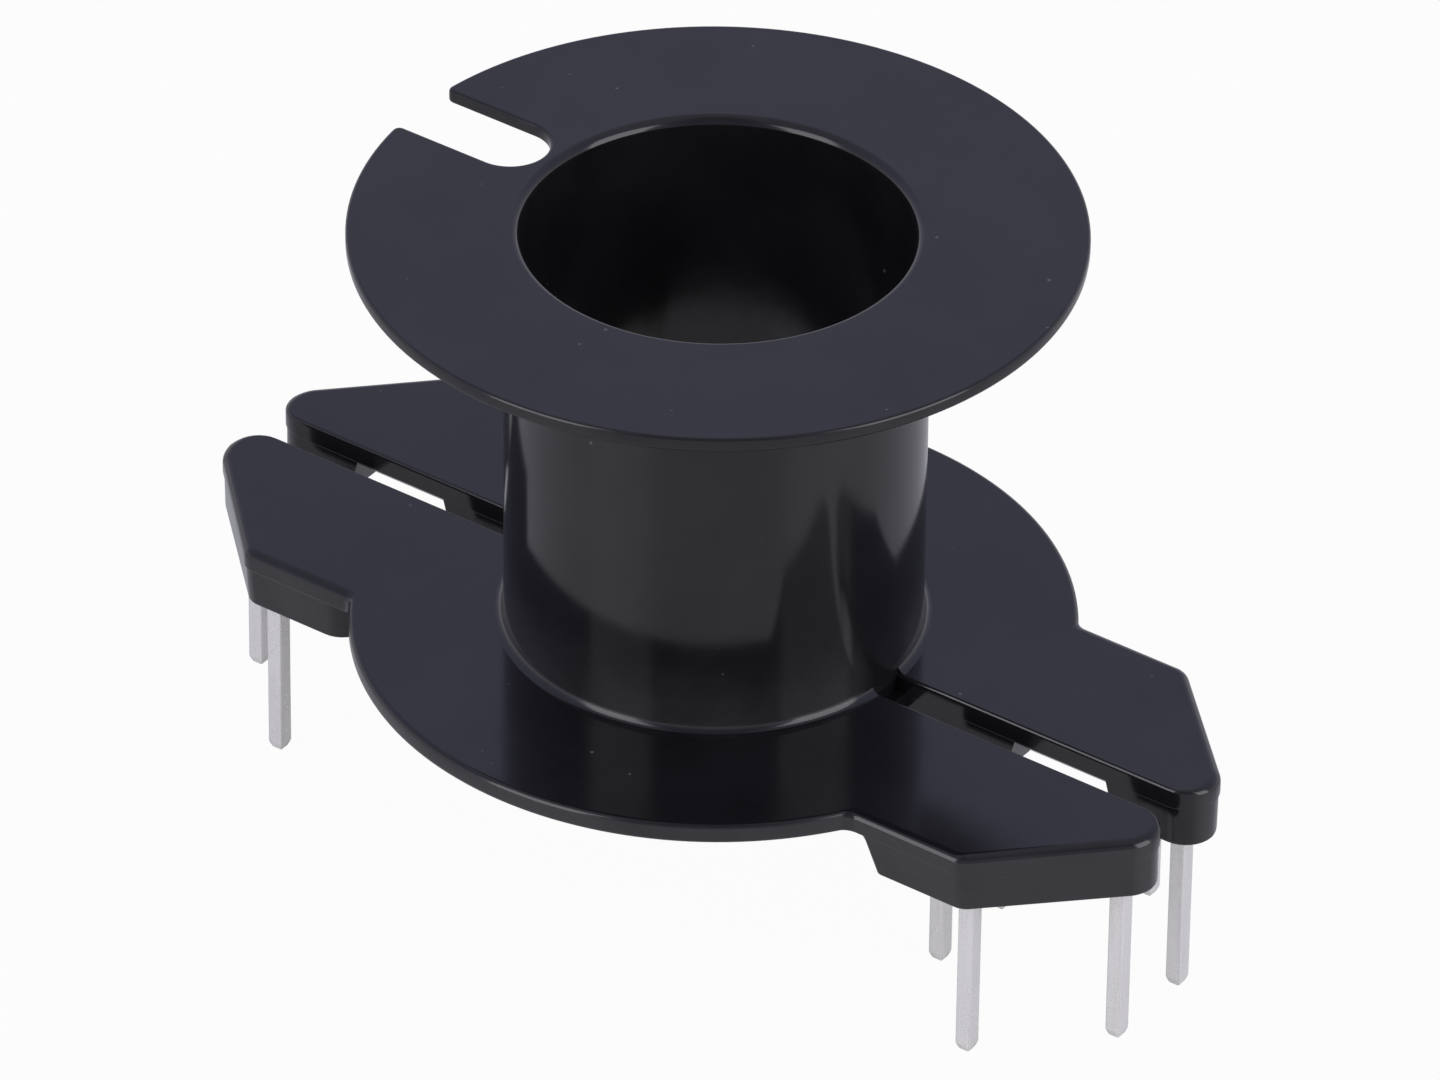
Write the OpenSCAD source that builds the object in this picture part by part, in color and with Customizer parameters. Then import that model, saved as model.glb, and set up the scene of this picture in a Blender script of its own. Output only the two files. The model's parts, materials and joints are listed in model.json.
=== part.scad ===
// Coil former for a transformer on a round-post ferrite core.
// One black moulding carries the winding: a tube between two thin flanges, with two split
// arms at its foot. Twelve square tinned pins stand in the blocks under the arms.
// Millimetres, +Z up along the bore, arms along X, pin tips at z = 0.

/* [Winding spool] */
// Diameter of both flanges
flange_d = 24.65; // [23.8:0.05:26]
// Height from the underside of the bottom flange to the top face
spool_h = 16.25; // [8:0.05:30]
// Thickness of the top flange
top_flange_t = 0.5; // [0.4:0.05:1.2]
// Thickness of the bottom flange and of the arm plates that run out from it
bottom_flange_t = 0.6; // [0.5:0.05:1]
// Diameter of the bore, which takes the core's centre post
bore_d = 13.1; // [10:0.1:14]
// Wall of the tube
tube_wall = 0.55; // [0.45:0.05:1]
// Rounding of both mouths of the bore
bore_mouth_r = 0.35; // [0.1:0.05:0.5]
// Fillet between the tube and the flanges
root_r = 0.5; // [0.1:0.05:0.8]
// Rounding of the flange rims
rim_r = 0.15; // [0.05:0.01:0.19]

/* [Wire slot in the top flange] */
// Width of the slot
wire_slot_w = 2.7; // [1:0.05:4]
// Land between the slot's round end and the tube
wire_slot_land = 0.1; // [0.05:0.05:1]
// Rounding of the slot's two mouth corners
wire_slot_mouth_r = 0.3; // [0.1:0.05:0.6]

/* [Split pin arms] */
// Distance from the bore axis to the tip of each arm
arm_reach = 19.2; // [18.9:0.05:21]
// Width across the two halves of an arm
arm_w = 13.4; // [12.8:0.05:14]
// Width of the wire channel that splits each arm
channel_w = 1.27; // [1:0.01:1.8]
// Radius of the round noses at the tips, seen from above; it sets where the 45 degree cuts lie
nose_r = 1.15; // [0.9:0.05:1.25]
// Radius between the tip cuts and the sides, seen from above
shoulder_r = 0.7; // [0.4:0.05:0.9]
// Rounding of the arms' top edges
arm_edge_r = 0.3; // [0.1:0.05:0.35]
// Fillet where an arm's side runs into the flange rim, seen from above
side_fillet_r = 0.5; // [0.2:0.05:1]

/* [Pin blocks under the arms] */
// Height from the blocks' underside to the arms' top
block_h = 2.1; // [1.6:0.05:3]
// Distance from the bore axis to the inner wall of the blocks, under the flange
block_inner = 10.9; // [10.4:0.05:11.2]
// Lean of this wall, away from the axis on the way down
block_lean = 18; // [0:1:25]
// Distance from the bore axis to the inner wall of the innermost pin bosses
boss_inner = 8.8; // [8.5:0.1:9.9]
// Width of the innermost pin bosses, from the channel's wall
boss_w = 2.35; // [1.8:0.05:3]
// Depth below the flange of the rib round the inner end of each channel, from boss to boss
rib_h = 0.6; // [0.4:0.05:1]
// Width of this rib beside the channel
rib_w = 0.9; // [0.8:0.05:1.5]
// Width of this rib across the channel, from the tube's wall
rib_bridge = 0.35; // [0.2:0.05:0.5]
// Corner radius of the blocks, bosses and ribs at their inner ends, seen from above
inner_r = 0.3; // [0.1:0.05:0.35]
// Fillet between the flange's underside and the blocks' inner wall
under_fillet_r = 0.8; // [0.2:0.05:1]
// Set-back of the blocks below the parting line
parting_step = 0.04; // [0.01:0.01:0.1]
// Distance from the bore axis to the inner end of each sloped wire relief
relief_start = 11.9; // [11.6:0.05:12.4]
// Length of each wire relief along the channel
relief_l = 3.65; // [2:0.05:4]
// Slope of the wire reliefs, from level
relief_angle = 46; // [40:1:60]
// Lean of the wire reliefs' end walls, which widen downwards
relief_draft = 15; // [0:1:15]

/* [Pins] */
// Board grid that the pins stand on, turned 45 degrees to the arms
pin_grid = 2.54; // [2.5:0.01:2.55]
// Side of the square pins
pin_w = 0.58; // [0.4:0.01:0.65]
// Free length of the pins below the blocks
pin_free = 6.5; // [3:0.1:10]
// Plastic left over the pins' inner ends
pin_cover = 0.6; // [0.4:0.05:1]
// Length of the tapered pin tips
pin_tip_l = 0.25; // [0.1:0.05:1]
// Side of the blunt pin ends
pin_tip_w = 0.38; // [0.1:0.01:0.39]

/* [Hidden] */
$fn = 120;
moulding_colour = "#1d1d20";
tin_colour = "#b7b6b0";

flange_r = flange_d / 2;
bore_r = bore_d / 2;
tube_r = bore_r + tube_wall;
arm_half = arm_w / 2;
channel_half = channel_w / 2;
slot_half = wire_slot_w / 2;

arm_top = pin_free + block_h;
spool_z = arm_top - bottom_flange_t;
spool_top = spool_z + spool_h;
top_flange_z = spool_top - top_flange_t;
pin_l = arm_top - pin_cover;

// Pin places on one arm, as grid steps along and across it
pin_step = pin_grid / sqrt(2);
arm_pin_steps = [[6, -1], [8, -3], [10, -1], [10, 1], [8, 3], [6, 1]];
pin_places = [for (side = [1, -1]) for (steps = arm_pin_steps) side * pin_step * steps];

// Overlap of cutting shapes past the faces that they open
past = 1;
// How far joining shapes are sunk into each other
sunk = 0.2;
// How far the channel bites into the tube, so that no film is left at its root
channel_bite = 0.05;
// Slack that keeps one shape's wall behind or before its neighbour's
slack = 0.02;
// Land between the bore's rounded mouth and the channel ribs
rib_land = 0.05;
// Thickness of the slices that a rounded plate is stretched over
slice_t = 0.01;
// Angle between neighbouring points on small rounded corners
arc_step = 9;

// Points on an arc about a centre, from one angle to another
function arc(centre, radius, from, to) =
    let (count = max(2, ceil(abs(to - from) / arc_step)))
    [for (i = [0:count])
        let (angle = from + (to - from) * i / count)
        centre + radius * [cos(angle), sin(angle)]];

// Half section of the spool: rounded bore mouths, tube, root fillets and rounded rims
function spool_section() = concat(
    arc([bore_r + bore_mouth_r, spool_z + bore_mouth_r], bore_mouth_r, 270, 180),
    arc([bore_r + bore_mouth_r, spool_top - bore_mouth_r], bore_mouth_r, 180, 90),
    arc([flange_r - rim_r, spool_top - rim_r], rim_r, 90, 0),
    arc([flange_r - rim_r, top_flange_z + rim_r], rim_r, 0, -90),
    arc([tube_r + root_r, top_flange_z - root_r], root_r, 90, 180),
    arc([tube_r + root_r, arm_top + root_r], root_r, 180, 270),
    arc([flange_r - rim_r, arm_top - rim_r], rim_r, 90, 0),
    arc([flange_r - rim_r, spool_z + rim_r], rim_r, 0, -90));

// Plan of the wire slot: round inner end, straight sides, rounded mouth corners
function wire_slot_outline() =
    let (end = tube_r + wire_slot_land + slot_half,
         mouth_y = slot_half + wire_slot_mouth_r,
         mouth_x = sqrt(pow(flange_r - wire_slot_mouth_r, 2) - pow(mouth_y, 2)),
         rim_angle = atan2(mouth_y, mouth_x))
    concat(
        arc([end, 0], slot_half, 90, 270),
        arc([mouth_x, -mouth_y], wire_slot_mouth_r, 90, -rim_angle),
        [[flange_r + past, -mouth_y]],
        [[flange_r + past, mouth_y]],
        arc([mouth_x, mouth_y], wire_slot_mouth_r, rim_angle, -90));

// Outer walls of a half arm in plan, from the channel round the tip to the side
function arm_outer_walls(inset) =
    let (lean = tan(22.5),
         tip_cut = arm_half - channel_half - nose_r * (1 + lean),
         side_end = arm_reach - tip_cut - shoulder_r * lean)
    concat(
        arc([arm_reach - nose_r, channel_half + nose_r], nose_r - inset, 270, 405),
        arc([side_end, arm_half - shoulder_r], shoulder_r - inset, 45, 90));

// Plan of a half arm's plate, drawn in from its walls by an inset; its inner end lies in the flange
function arm_plate_outline(inset) =
    let (end_x = boss_inner + shoulder_r, end_r = shoulder_r - inset)
    concat(
        arc([end_x, arm_half - shoulder_r], end_r, 90, 180),
        arc([end_x, channel_half + shoulder_r], end_r, 180, 270),
        arm_outer_walls(inset));

// Plan of a half arm's pin block: the outer walls, the inner wall, and the boss of the innermost pin
function pin_block_outline() =
    let (lo = channel_half + parting_step,
         hi = arm_half - parting_step,
         boss_top = channel_half + boss_w)
    concat(
        arc([boss_inner + inner_r, lo + inner_r], inner_r, 180, 270),
        arm_outer_walls(parting_step),
        arc([block_inner + inner_r, hi - inner_r], inner_r, 90, 180),
        arc([block_inner - inner_r, boss_top + inner_r], inner_r, 0, -90),
        arc([boss_inner + inner_r, boss_top - inner_r], inner_r, 90, 180));

// Cross section of the channel through the bottom flange, flared at the top by the edge rounding
function channel_section() =
    let (wall = channel_half + slack,
         flare = arc([wall + arm_edge_r, arm_top - arm_edge_r], arm_edge_r, 180, 90),
         upper = arm_top + root_r + channel_bite,
         right = concat([[wall, spool_z - past]], flare, [[wall + arm_edge_r, upper]]))
    concat(right, [for (i = [len(right) - 1:-1:0]) [-right[i].x, right[i].y]]);

// Cross section of a wire relief: a slope from the channel's wall under the plate to the block's foot
function relief_section() =
    let (run = (block_h - bottom_flange_t + past) / tan(relief_angle))
    [[0, spool_z], [channel_half, spool_z],
     [channel_half + run, pin_free - past], [0, pin_free - past]];

// Side view of a wire relief, with its leaning end walls
function relief_side() =
    let (flare = (block_h - bottom_flange_t + past) * tan(relief_draft), end = relief_start + relief_l)
    [[relief_start, spool_z], [end, spool_z],
     [end + flare, pin_free - past], [relief_start - flare, pin_free - past]];

// Plan of half the rib round a channel's inner end, from past the middle into the boss
function rib_outline() =
    let (lo = channel_half + parting_step + slack,
         hi = lo + rib_w,
         start = bore_r + bore_mouth_r + rib_land,
         bridge = tube_r + rib_bridge)
    concat(
        [[start, -sunk], [bridge, -sunk]],
        arc([bridge + inner_r, lo - inner_r], inner_r, 180, 90),
        [[boss_inner + past, lo], [boss_inner + past, hi]],
        arc([start + inner_r, hi - inner_r], inner_r, 90, 180));

// Side view of what is cut off below a block's leaning inner wall
function block_lean_section() =
    let (drop = block_h - bottom_flange_t + past)
    [[block_inner, spool_z], [block_inner + drop * tan(block_lean), spool_z - drop],
     [block_inner - past, spool_z - drop], [block_inner - past, spool_z]];

// Section of the fillet under the flange, against a block's leaning inner wall
function under_fillet_section() =
    let (r = under_fillet_r,
         centre = [block_inner + r * tan(block_lean) - r / cos(block_lean), spool_z - r],
         back = block_inner + r * tan(block_lean) + sunk)
    concat(
        arc(centre, r - slack, 90, block_lean),
        [[back, centre.y + r * sin(block_lean)]],
        [[back, spool_z + sunk]],
        [[centre.x, spool_z + sunk]]);

// Plan of the fillet between the flange rim and an arm's side, sunk into both
function side_fillet_outline() =
    let (centre_y = arm_half + side_fillet_r,
         centre_x = sqrt(pow(flange_r + side_fillet_r, 2) - pow(centre_y, 2)),
         centre = [centre_x, centre_y],
         rim_angle = 180 + atan2(centre_y, centre_x),
         root = side_fillet_r + rim_r + arm_edge_r)
    concat(
        arc(centre, side_fillet_r - slack, rim_angle, 270),
        [centre + root * [0, -1]],
        [centre + root * [cos(rim_angle), sin(rim_angle)]]);

// A shape at both arms
module both_arms() {
    children();
    rotate(180) children();
}

// A shape at both halves of both arms
module all_half_arms() {
    both_arms() {
        children();
        mirror([0, 1, 0]) children();
    }
}

// A section in Y and Z drawn out along X
module along_x(from, length) {
    translate([from, 0, 0]) rotate([90, 0, 90]) linear_extrude(length) children();
}

// A section in X and Z drawn out along Y
module along_y(from, length) {
    translate([0, from + length, 0]) rotate([90, 0, 0]) linear_extrude(length) children();
}

// Tube and flanges, with the wire slot and the two channels cut out
module spool() {
    difference() {
        rotate_extrude() polygon(spool_section());
        rotate(180) translate([0, 0, top_flange_z - root_r])
            linear_extrude(top_flange_t + root_r + past) polygon(wire_slot_outline());
        both_arms() along_x(tube_r - channel_bite, flange_r - tube_r + past)
            polygon(channel_section());
    }
}

// Plate of one half arm, with rounded top edges
module arm_plate() {
    hull() {
        translate([0, 0, spool_z]) linear_extrude(bottom_flange_t - arm_edge_r)
            polygon(arm_plate_outline(0));
        for (angle = [30:30:90])
            translate([0, 0, arm_top - slice_t - arm_edge_r * (1 - sin(angle))])
                linear_extrude(slice_t) polygon(arm_plate_outline(arm_edge_r * (1 - cos(angle))));
    }
}

// Pin block under one half arm, with its wire relief, channel rib and the fillet at its inner wall
module pin_block() {
    difference() {
        translate([0, 0, pin_free]) linear_extrude(block_h - bottom_flange_t + sunk)
            polygon(pin_block_outline());
        intersection() {
            along_x(relief_start - past, relief_l + 2 * past) polygon(relief_section());
            along_y(0, arm_half) polygon(relief_side());
        }
        along_y(channel_half + boss_w + inner_r, arm_half) polygon(block_lean_section());
    }
    translate([0, 0, spool_z - rib_h]) linear_extrude(rib_h + sunk) polygon(rib_outline());
    along_y(channel_half + boss_w - sunk, arm_half - inner_r - channel_half - boss_w + sunk)
        polygon(under_fillet_section());
}

// One half arm
module half_arm() {
    arm_plate();
    pin_block();
    translate([0, 0, spool_z]) linear_extrude(bottom_flange_t - arm_edge_r)
        polygon(side_fillet_outline());
}

// The whole moulding, with a square hole for each pin
module coil_former() {
    color(moulding_colour) difference() {
        union() {
            spool();
            all_half_arms() half_arm();
        }
        for (place = pin_places)
            translate([place.x - pin_w / 2, place.y - pin_w / 2, pin_free - past])
                cube([pin_w, pin_w, pin_l - pin_free + past]);
    }
}

// Side view of a pin with its tapered tip, drawn out across the pin
module pin_side() {
    linear_extrude(2 * pin_w, center = true) polygon([
        [-pin_tip_w / 2, 0], [pin_tip_w / 2, 0], [pin_w / 2, pin_tip_l],
        [pin_w / 2, pin_l], [-pin_w / 2, pin_l], [-pin_w / 2, pin_tip_l]]);
}

// One square pin, from its blunt tip to its end inside the block
module terminal_pin(place) {
    color(tin_colour) translate([place.x, place.y, 0]) intersection() {
        rotate([90, 0, 0]) pin_side();
        rotate([90, 0, 90]) pin_side();
    }
}

coil_former();
for (i = [1:len(pin_places)])
    terminal_pin(pin_places[i - 1]);
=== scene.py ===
"""Looks of a transformer coil former: its black moulding, its tinned pins, the table and the camera."""

import json
import math

import bmesh
import bpy
from mathutils import Matrix, Vector


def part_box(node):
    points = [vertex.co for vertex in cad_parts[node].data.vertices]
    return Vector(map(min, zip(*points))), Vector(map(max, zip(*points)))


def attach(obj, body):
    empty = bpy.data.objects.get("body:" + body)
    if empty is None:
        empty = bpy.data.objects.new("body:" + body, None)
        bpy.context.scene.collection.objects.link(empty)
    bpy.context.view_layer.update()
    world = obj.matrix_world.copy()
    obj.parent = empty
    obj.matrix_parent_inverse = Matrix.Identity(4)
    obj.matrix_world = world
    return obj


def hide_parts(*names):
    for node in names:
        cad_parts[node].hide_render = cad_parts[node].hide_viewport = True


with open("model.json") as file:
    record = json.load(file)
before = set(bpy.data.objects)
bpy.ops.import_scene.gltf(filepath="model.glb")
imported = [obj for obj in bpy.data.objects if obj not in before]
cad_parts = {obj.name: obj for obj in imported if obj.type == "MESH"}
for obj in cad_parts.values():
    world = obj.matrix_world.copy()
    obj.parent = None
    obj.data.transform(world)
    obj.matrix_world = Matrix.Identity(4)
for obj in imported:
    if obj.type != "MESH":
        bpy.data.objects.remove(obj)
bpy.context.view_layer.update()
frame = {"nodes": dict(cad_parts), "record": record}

# Sizes that the frame gives, in millimetres
MM = 0.001
former_low, former_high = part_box("coil_former")
mounts = {mount["name"]: mount for mount in frame["record"]["mounts"]}
pin_nodes = sorted(name for name in frame["nodes"] if name.startswith("terminal_pin_"))
ARM_REACH = former_high.x / MM
FLANGE_R = former_high.y / MM
BLOCK_FOOT = former_low.z / MM
SPOOL_TOP = former_high.z / MM
BORE_R = mounts["core_post_bore"]["dims"]["r_mm"]

# Spool
SPOOL_H = 16.25
TOP_FLANGE_T = 0.5
PLATE_T = 0.75
TUBE_WALL = 0.55
MOUTH_R = 0.35
ROOT_R = 0.35
TOP_ROOT_R = 0.12
RIM_R = 0.12

# Wire slot in the top flange
SLOT_HALF = 1.35
SLOT_LAND = 0.1
SLOT_MOUTH_R = 0.3

# Split arms
ARM_HALF = 6.7
CHANNEL_HALF = 0.635
NOSE_R = 1.15
SHOULDER_R = 0.7
ARM_EDGE_R = 0.35
CHANNEL_EDGE_R = 0.1
LOW_RIM_R = 0.2
SIDE_FILLET_R = 0.5

# Pin blocks
BLOCK_INNER = 10.75
BLOCK_LEAN = math.radians(20)
BLOCK_CORNER_R = 0.2
LONG_END = 10.55
LONG_END_R = 1.0
SIDE_DRAFT = 0.16
BOSS_INNER = 8.8
BOSS_W = 2.35
RIB_H = 0.6
RIB_W = 0.9
RIB_BRIDGE = 0.35
RIB_LAND = 0.05
INNER_R = 0.3
UNDER_FILLET_R = 0.45
PARTING_STEP = 0.05
PARTING_EDGE_R = 0.04
FOOT_EDGE_R = 0.1
RELIEF_START = 11.9
RELIEF_L = 3.65
RELIEF_ANGLE = math.radians(42)
RELIEF_DRAFT = math.radians(15)

# Pins
PIN_TIP_L = 0.25
PIN_TIP_W = 0.38
PIN_EDGE_R = 0.06

# Levels that follow from the sizes
PLATE_FOOT = SPOOL_TOP - SPOOL_H
PLATE_TOP = PLATE_FOOT + PLATE_T
TOP_FLANGE_FOOT = SPOOL_TOP - TOP_FLANGE_T
TUBE_R = BORE_R + TUBE_WALL
RIB_START = BORE_R + MOUTH_R + RIB_LAND

# A corner that turns by 45 degrees takes this share of its radius along each side
HALF_CORNER = math.tan(math.radians(22.5))

# The arms' slanted tip cuts, placed so that each nose is one full round
TIP_CUT = ARM_HALF - CHANNEL_HALF - NOSE_R * (1 + HALF_CORNER)

# Where the fillet under the flange starts, at a leaning inner wall
FILLET_X = BLOCK_INNER + UNDER_FILLET_R * (math.tan(BLOCK_LEAN) - 1 / math.cos(BLOCK_LEAN))

# How finely round shapes are drawn
ROUND_SIDES = 180
CORNER_STEPS = 8
EDGE_STEPS = 5
PIN_EDGE_STEPS = 3
ARC_STEPS = 10

# Small overlaps that keep joined and cut shapes from sharing faces
PAST = 1.0
SUNK = 0.2
SKIN = 0.002
CHANNEL_BITE = 0.02
CHANNEL_SUNK = 0.5

# How close counts as the same place when edges are picked or points merged
NEAR = 0.2
RIM_SLACK = 0.02
SIDE_SLACK = 0.001
MERGE = 1e-4

# Angles that tell flat, hollow and sharp places apart
FLAT_ANGLE = math.radians(0.2)
HOLLOW_ANGLE = math.radians(15)
SHARP_ANGLE = math.radians(35)

# How strongly large faces set the shading of the small ones beside them
LARGE_FACE_WEIGHT = 100


def deselect():
    """Leaves object mode with nothing selected."""
    if bpy.context.mode != "OBJECT":
        bpy.ops.object.mode_set(mode="OBJECT")
    bpy.ops.object.select_all(action="DESELECT")


def make_active(piece):
    """Selects one piece alone."""
    deselect()
    bpy.context.view_layer.objects.active = piece
    piece.select_set(True)


def open_edit(piece, kind="EDGE"):
    """Opens a piece for shaping, with nothing picked."""
    make_active(piece)
    bpy.ops.object.mode_set(mode="EDIT")
    bpy.ops.mesh.select_mode(type=kind)
    bpy.ops.mesh.select_all(action="DESELECT")


def close_edit():
    """Goes back to object mode."""
    bpy.ops.object.mode_set(mode="OBJECT")


def pick_edges(piece, test):
    """Picks the edges that pass a test, in edit mode."""
    shape = bmesh.from_edit_mesh(piece.data)
    shape.normal_update()
    for edge in shape.edges:
        edge.select_set(test(edge))
    bmesh.update_edit_mesh(piece.data)


def box_piece(name, low, high):
    """A block between two corners."""
    deselect()
    middle = [(a + b) / 2 for a, b in zip(low, high)]
    bpy.ops.mesh.primitive_cube_add(size=1, location=middle)
    piece = bpy.context.object
    piece.name = name
    piece.scale = [b - a for a, b in zip(low, high)]
    bpy.ops.object.transform_apply(location=True, rotation=True, scale=True)
    return piece


def disc_piece(name, radius, low, high, centre=(0, 0)):
    """A round plate between two levels."""
    deselect()
    place = (centre[0], centre[1], (low + high) / 2)
    bpy.ops.mesh.primitive_cylinder_add(
        vertices=ROUND_SIDES, radius=radius, depth=high - low, location=place)
    piece = bpy.context.object
    piece.name = name
    bpy.ops.object.transform_apply(location=True, rotation=True, scale=True)
    return piece


def arc(centre, radius, start, end):
    """Points on an arc, with angles in degrees."""
    points = []
    for step in range(ARC_STEPS + 1):
        angle = math.radians(start + (end - start) * step / ARC_STEPS)
        points.append((centre[0] + radius * math.cos(angle), centre[1] + radius * math.sin(angle)))
    return points


def draw_outline(name, outline):
    """A line through the points of an outline, given as X and Z, all picked in edit mode."""
    deselect()
    bpy.ops.mesh.primitive_plane_add(size=1)
    piece = bpy.context.object
    piece.name = name
    open_edit(piece, "VERT")
    bpy.ops.mesh.select_all(action="SELECT")
    bpy.ops.mesh.merge(type="CENTER")
    last = (0.0, 0.0)
    for index, point in enumerate(outline):
        move = (point[0] - last[0], 0, point[1] - last[1])
        if index == 0:
            bpy.ops.transform.translate(value=move)
        else:
            bpy.ops.mesh.extrude_vertices_move(TRANSFORM_OT_translate={"value": move})
        last = point
    bpy.ops.mesh.select_all(action="SELECT")
    return piece


def close_shape():
    """Merges doubles, turns all faces outwards and leaves edit mode."""
    bpy.ops.mesh.select_all(action="SELECT")
    bpy.ops.mesh.remove_doubles(threshold=MERGE)
    bpy.ops.mesh.normals_make_consistent(inside=False)
    close_edit()


def turned_piece(name, outline):
    """A shape turned about the bore's axis from its half section, given as radius and height."""
    piece = draw_outline(name, outline)
    bpy.ops.mesh.spin(steps=ROUND_SIDES, angle=2 * math.pi, center=(0, 0, 0), axis=(0, 0, 1))
    close_shape()
    return piece


def drawn_piece(name, outline, from_y, to_y):
    """A shape drawn out along Y from its side view, given as X and Z."""
    piece = draw_outline(name, outline)
    bpy.ops.transform.translate(value=(0, from_y, 0))
    bpy.ops.mesh.edge_face_add()
    bpy.ops.mesh.extrude_region_move(TRANSFORM_OT_translate={"value": (0, to_y - from_y, 0)})
    close_shape()
    return piece


def apply_all(piece):
    """Applies every modifier on a piece."""
    make_active(piece)
    for modifier in list(piece.modifiers):
        bpy.ops.object.modifier_apply(modifier=modifier.name)


def combine(piece, tool, operation):
    """Joins a shape to a piece, or cuts it out of the piece, and uses the shape up."""
    modifier = piece.modifiers.new(operation.lower(), "BOOLEAN")
    modifier.operation = operation
    modifier.solver = "EXACT"
    modifier.object = tool
    apply_all(piece)
    bpy.data.objects.remove(tool)


def join(piece, tool):
    """Joins a shape to a piece."""
    combine(piece, tool, "UNION")


def cut(piece, tool):
    """Cuts a shape out of a piece."""
    combine(piece, tool, "DIFFERENCE")


def repeat_mirrored(piece, across_x, across_y):
    """Repeats a shape on the other side of the bore's axis, along X, along Y or both."""
    modifier = piece.modifiers.new("other sides", "MIRROR")
    modifier.use_axis = (across_x, across_y, False)
    modifier.use_clip = False
    modifier.use_mirror_merge = False
    apply_all(piece)


def bevel_edges(piece, test, offset, steps):
    """Bevels the edges that pass a test; one step gives a flat cut."""
    open_edit(piece)
    pick_edges(piece, test)
    bpy.ops.mesh.bevel(offset=offset, segments=steps, affect="EDGES", clamp_overlap=False)
    close_edit()


def ends(edge):
    """The two end points of an edge."""
    return edge.verts[0].co, edge.verts[1].co


def is_upright(edge):
    """True for an edge that runs along Z."""
    a, b = ends(edge)
    return math.hypot(a.x - b.x, a.y - b.y) < MERGE < abs(a.z - b.z)


def upright_near(x, y):
    """Tests for upright edges near a place, on either side of both axes."""
    def test(edge):
        a = edge.verts[0].co
        return is_upright(edge) and abs(abs(a.x) - x) < NEAR and abs(abs(a.y) - y) < NEAR
    return test


def hollow_near(x, y):
    """Tests for sharp hollow edges near a place in plan, on either side of both axes."""
    def test(edge):
        a, b = ends(edge)
        far = max(math.hypot(abs(end.x) - x, abs(end.y) - y) for end in (a, b))
        return far < SIDE_FILLET_R and edge.calc_face_angle_signed() < -HOLLOW_ANGLE
    return test


def merge_flat_faces(piece):
    """Clears the lines that joining leaves on flat faces."""
    open_edit(piece)
    bpy.ops.mesh.select_all(action="SELECT")
    bpy.ops.mesh.remove_doubles(threshold=MERGE)
    bpy.ops.mesh.dissolve_limited(angle_limit=FLAT_ANGLE)
    close_edit()


def round_edges(piece, radius, share_of):
    """Rounds edges by a share of a radius, which a function gives for each edge."""
    open_edit(piece)
    shape = bmesh.from_edit_mesh(piece.data)
    weight = shape.edges.layers.float.new("bevel_weight_edge")
    for edge in shape.edges:
        edge[weight] = share_of(edge)
    bmesh.update_edit_mesh(piece.data)
    close_edit()
    modifier = piece.modifiers.new("rounded edges", "BEVEL")
    modifier.limit_method = "WEIGHT"
    modifier.width = radius
    modifier.segments = EDGE_STEPS
    modifier.use_clamp_overlap = False
    modifier.miter_outer = "MITER_SHARP"
    apply_all(piece)


def lies_at(level, edge):
    """True for an edge that lies at one height."""
    return all(abs(end.z - level) < MERGE for end in ends(edge))


def on_rim(edge):
    """True for an edge on the flange's round rim."""
    return all(abs(math.hypot(end.x, end.y) - FLANGE_R) < RIM_SLACK for end in ends(edge))


def make_foot_plate():
    """Bottom flange and both arms as one thin plate, split by the wire channels."""
    plate = disc_piece("coil_former_body", FLANGE_R, PLATE_FOOT, PLATE_TOP)
    arms = box_piece(
        "arms", (-ARM_REACH, -ARM_HALF, PLATE_FOOT), (ARM_REACH, ARM_HALF, PLATE_TOP))
    bevel_edges(arms, is_upright, TIP_CUT, 1)
    bevel_edges(arms, upright_near(ARM_REACH, ARM_HALF - TIP_CUT), NOSE_R * HALF_CORNER, CORNER_STEPS)
    bevel_edges(
        arms, upright_near(ARM_REACH - TIP_CUT, ARM_HALF), SHOULDER_R * HALF_CORNER, CORNER_STEPS)
    join(plate, arms)
    channels = box_piece(
        "channels",
        (TUBE_R - CHANNEL_SUNK, -CHANNEL_HALF, PLATE_FOOT - PAST),
        (ARM_REACH + PAST, CHANNEL_HALF, PLATE_TOP + PAST))
    repeat_mirrored(channels, True, False)
    cut(plate, channels)
    merge_flat_faces(plate)
    bevel_edges(plate, upright_near(ARM_REACH, CHANNEL_HALF), NOSE_R, CORNER_STEPS)
    merge_flat_faces(plate)

    def rounding(edge):
        """Rounder edges on the arms' outside than at the rim, the channels and the parting line."""
        at_top = lies_at(PLATE_TOP, edge)
        if not at_top and not lies_at(PLATE_FOOT, edge):
            return 0.0
        if on_rim(edge):
            return LOW_RIM_R / ARM_EDGE_R
        if not at_top:
            return PARTING_EDGE_R / ARM_EDGE_R
        a, b = ends(edge)
        from_channel = abs(a.y + b.y) / 2 - CHANNEL_HALF
        share = min(max(from_channel / NOSE_R, 0), 1)
        return share + (1 - share) * CHANNEL_EDGE_R / ARM_EDGE_R

    round_edges(plate, ARM_EDGE_R, rounding)
    corner_x = math.sqrt(FLANGE_R ** 2 - ARM_HALF ** 2)
    turn = math.radians(90) - math.asin(ARM_HALF / FLANGE_R)
    bevel_edges(
        plate, hollow_near(corner_x, ARM_HALF), SIDE_FILLET_R * math.tan(turn / 2), CORNER_STEPS)
    return plate


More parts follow.
